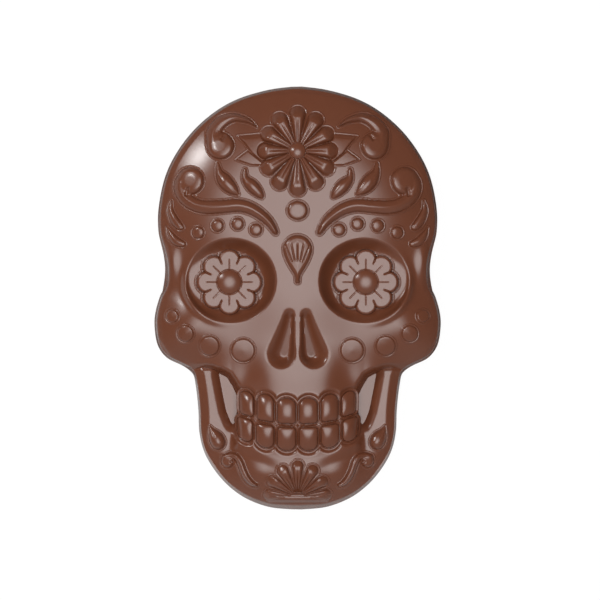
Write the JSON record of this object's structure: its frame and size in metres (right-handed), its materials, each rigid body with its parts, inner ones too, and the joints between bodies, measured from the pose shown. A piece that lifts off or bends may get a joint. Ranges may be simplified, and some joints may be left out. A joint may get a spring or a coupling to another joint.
{
  "type": "moulded chocolate skull bar",
  "caption": "Flat-backed chocolate bar moulded as a decorated sugar skull, with flowers in its eye sockets, scrolls, beads and two rows of teeth.",
  "frame": {"origin": "middle of the flat back face", "axes": "+X to the viewer's right, +Y towards the crown of the skull, +Z out of the face"},
  "size_m": [0.0798, 0.118, 0.0144],
  "materials": {
    "chocolate": "glossy moulded milk chocolate"
  },
  "bodies": {
    "root": {"base_plate": "chocolate", "cranium": "chocolate", "jaw": "chocolate", "upper_tooth_1_right": "chocolate", "upper_tooth_1_left": "chocolate", "upper_tooth_2_right": "chocolate", "upper_tooth_2_left": "chocolate", "upper_tooth_3_right": "chocolate", "upper_tooth_3_left": "chocolate", "lower_tooth_1_right": "chocolate", "lower_tooth_1_left": "chocolate", "lower_tooth_2_right": "chocolate", "lower_tooth_2_left": "chocolate", "lower_tooth_3_right": "chocolate", "lower_tooth_3_left": "chocolate", "forehead_flower": "chocolate", "forehead_bead": "chocolate", "nose_fan": "chocolate", "flower_blade_upper_right": "chocolate", "flower_blade_upper_left": "chocolate", "flower_blade_lower_right": "chocolate", "flower_blade_lower_left": "chocolate", "volute_right": "chocolate", "volute_left": "chocolate", "sprig_leaf_outer_right": "chocolate", "sprig_leaf_outer_left": "chocolate", "sprig_leaf_inner_right": "chocolate", "sprig_leaf_inner_left": "chocolate", "brow_scroll_right": "chocolate", "brow_scroll_left": "chocolate", "temple_leaf_upper_right": "chocolate", "temple_leaf_upper_left": "chocolate", "temple_leaf_lower_right": "chocolate", "temple_leaf_lower_left": "chocolate", "brow_bead_1_right": "chocolate", "brow_bead_1_left": "chocolate", "brow_bead_2_right": "chocolate", "brow_bead_2_left": "chocolate", "brow_bead_3_right": "chocolate", "brow_bead_3_left": "chocolate", "brow_bead_4_right": "chocolate", "brow_bead_4_left": "chocolate", "eye_flower_right": "chocolate", "eye_flower_left": "chocolate", "cheek_bead_1_right": "chocolate", "cheek_bead_1_left": "chocolate", "cheek_bead_2_right": "chocolate", "cheek_bead_2_left": "chocolate", "cheek_bead_3_right": "chocolate", "cheek_bead_3_left": "chocolate", "cheek_bead_4_right": "chocolate", "cheek_bead_4_left": "chocolate", "jaw_drop_right": "chocolate", "jaw_drop_left": "chocolate", "chin_scroll_right": "chocolate", "chin_scroll_left": "chocolate", "chin_flower": "chocolate"}
  },
  "joints": []
}
